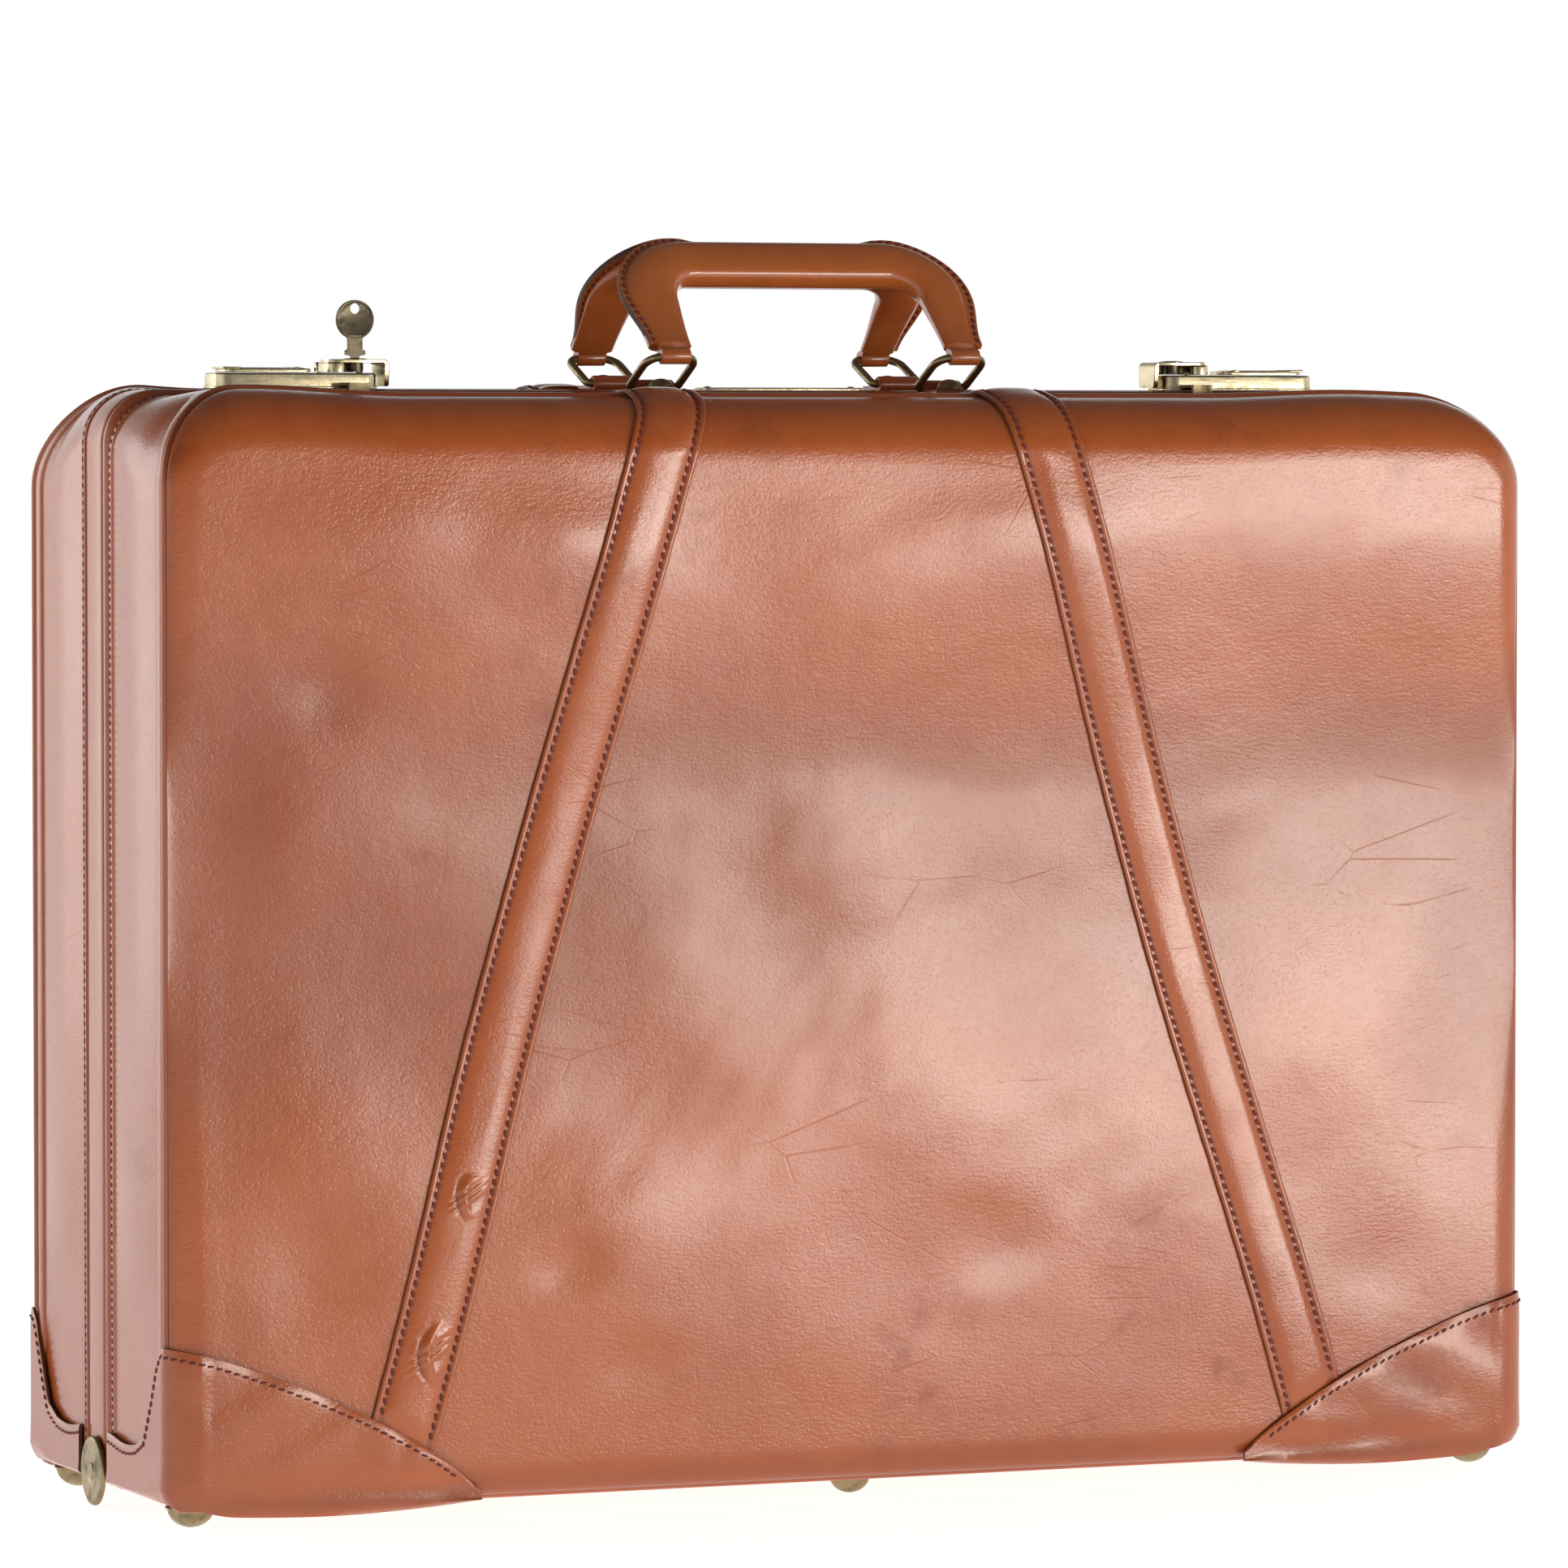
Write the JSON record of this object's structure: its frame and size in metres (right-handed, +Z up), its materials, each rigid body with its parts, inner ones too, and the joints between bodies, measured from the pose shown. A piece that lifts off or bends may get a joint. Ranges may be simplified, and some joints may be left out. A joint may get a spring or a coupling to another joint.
{
  "type": "rigid leather travel case",
  "caption": "Rigid tan leather case of two dished halves hinged along the base, with corner patches, slanted straps, brass thumb-slide locks and two ringed carrying handles.",
  "frame": {"origin": "centre of the footprint, on the plane of the feet", "axes": "+X along the length of the case to the right, +Y from the opening lid in front towards the back half, +Z up to the handles"},
  "size_m": [0.6172, 0.2018, 0.5254],
  "materials": {
    "case_leather": "glossy tan hide",
    "trim_leather": "glossy darker edge leather",
    "handle_leather": "polished tan hide over a core",
    "lock_brass": "polished",
    "aged_brass": "aged and dull",
    "key_metal": "nickel plate worn to the brass",
    "lining_cloth": "woven cotton",
    "frame_board": "matte leather board"
  },
  "bodies": {
    "back_half": {"back_panel": "case_leather", "back_gusset": "case_leather", "frame_band": "case_leather", "frame_bead": "case_leather", "back_strap_left": "case_leather", "back_strap_right": "case_leather", "back_patch_left": "case_leather", "back_patch_right": "case_leather", "back_piping": "trim_leather", "back_welt": "trim_leather", "back_chape_left": "trim_leather", "back_chape_right": "trim_leather", "lock_case_left": "lock_brass", "lock_case_right": "lock_brass", "top_plate": "lock_brass", "back_foot_left": "aged_brass", "back_foot_middle": "aged_brass", "back_foot_right": "aged_brass", "end_disc_left": "aged_brass", "end_disc_right": "aged_brass", "hinge_leaf_back": "aged_brass", "hinge_pin": "aged_brass", "back_rivet_left": "aged_brass", "back_rivet_right": "aged_brass", "back_lining": "lining_cloth", "frame_tongue": "frame_board"},
    "lid": {"front_panel": "case_leather", "front_gusset": "case_leather", "front_piping": "trim_leather", "front_lining": "lining_cloth", "lid_pocket": "lining_cloth", "strap_left": "case_leather", "strap_right": "case_leather", "front_patch_left": "case_leather", "front_patch_right": "case_leather", "front_foot_left": "aged_brass", "front_foot_middle": "aged_brass", "front_foot_right": "aged_brass", "hinge_leaf_front": "aged_brass", "front_chape_left": "trim_leather", "front_chape_right": "trim_leather", "front_rivet_left": "aged_brass", "front_rivet_right": "aged_brass", "strike_left": "lock_brass", "strike_right": "lock_brass"},
    "front_rings": {"front_ring_left": "aged_brass", "front_ring_right": "aged_brass"},
    "front_handle": {"front_handle": "handle_leather"},
    "back_rings": {"back_ring_left": "aged_brass", "back_ring_right": "aged_brass"},
    "back_handle": {"back_handle": "handle_leather"},
    "slide_left": {"lock_slide_left": "lock_brass"},
    "slide_right": {"lock_slide_right": "lock_brass"},
    "hasp_left": {"hasp_left": "lock_brass"},
    "hasp_right": {"hasp_right": "lock_brass"},
    "plug_left": {"lock_plug_left": "key_metal"},
    "plug_right": {"lock_plug_right": "key_metal"},
    "key": {"key": "key_metal"}
  },
  "joints": [
    {"name": "lid_hinge", "type": "hinge", "parent": "back_half", "child": "lid", "pos_m": [0, -0.014, 0.0054], "axis": [1, 0, 0], "range_deg": [0, 165]},
    {"name": "front_ring_swing", "type": "hinge", "parent": "lid", "child": "front_rings", "pos_m": [0, -0.017, 0.4643], "axis": [1, 0, 0], "range_deg": [0, 6]},
    {"name": "front_handle_swing", "type": "hinge", "parent": "front_rings", "child": "front_handle", "pos_m": [0, -0.04237, 0.4775], "axis": [1, 0, 0], "range_deg": [0, 125]},
    {"name": "back_ring_swing", "type": "hinge", "parent": "back_half", "child": "back_rings", "pos_m": [0, 0.03, 0.4663], "axis": [-1, 0, 0], "range_deg": [0, 6]},
    {"name": "back_handle_swing", "type": "hinge", "parent": "back_rings", "child": "back_handle", "pos_m": [0, 0.05632, 0.4775], "axis": [-1, 0, 0], "range_deg": [0, 125]},
    {"name": "slide_left_travel", "type": "slide", "parent": "back_half", "child": "slide_left", "axis": [-1, 0, 0], "range_m": [0, 0.006], "stiffness_N_per_m": 150},
    {"name": "hasp_left_lift", "type": "hinge", "parent": "back_half", "child": "hasp_left", "pos_m": [-0.195, 0.0142, 0.4728], "axis": [-1, 0, 0], "range_deg": [0, 85]},
    {"name": "plug_left_turn", "type": "hinge", "parent": "hasp_left", "child": "plug_left", "pos_m": [-0.1917, 0.003, 0.474], "axis": [0, 0, 1], "range_deg": [0, 90]},
    {"name": "slide_right_travel", "type": "slide", "parent": "back_half", "child": "slide_right", "axis": [1, 0, 0], "range_m": [0, 0.006], "stiffness_N_per_m": 150},
    {"name": "hasp_right_lift", "type": "hinge", "parent": "back_half", "child": "hasp_right", "pos_m": [0.1878, 0.0142, 0.4728], "axis": [-1, 0, 0], "range_deg": [0, 85]},
    {"name": "plug_right_turn", "type": "hinge", "parent": "hasp_right", "child": "plug_right", "pos_m": [0.1845, 0.003, 0.474], "axis": [0, 0, -1], "range_deg": [0, 90]},
    {"name": "key_pull", "type": "slide", "parent": "plug_left", "child": "key", "axis": [0, 0, 1], "range_m": [0, 0.02]}
  ]
}
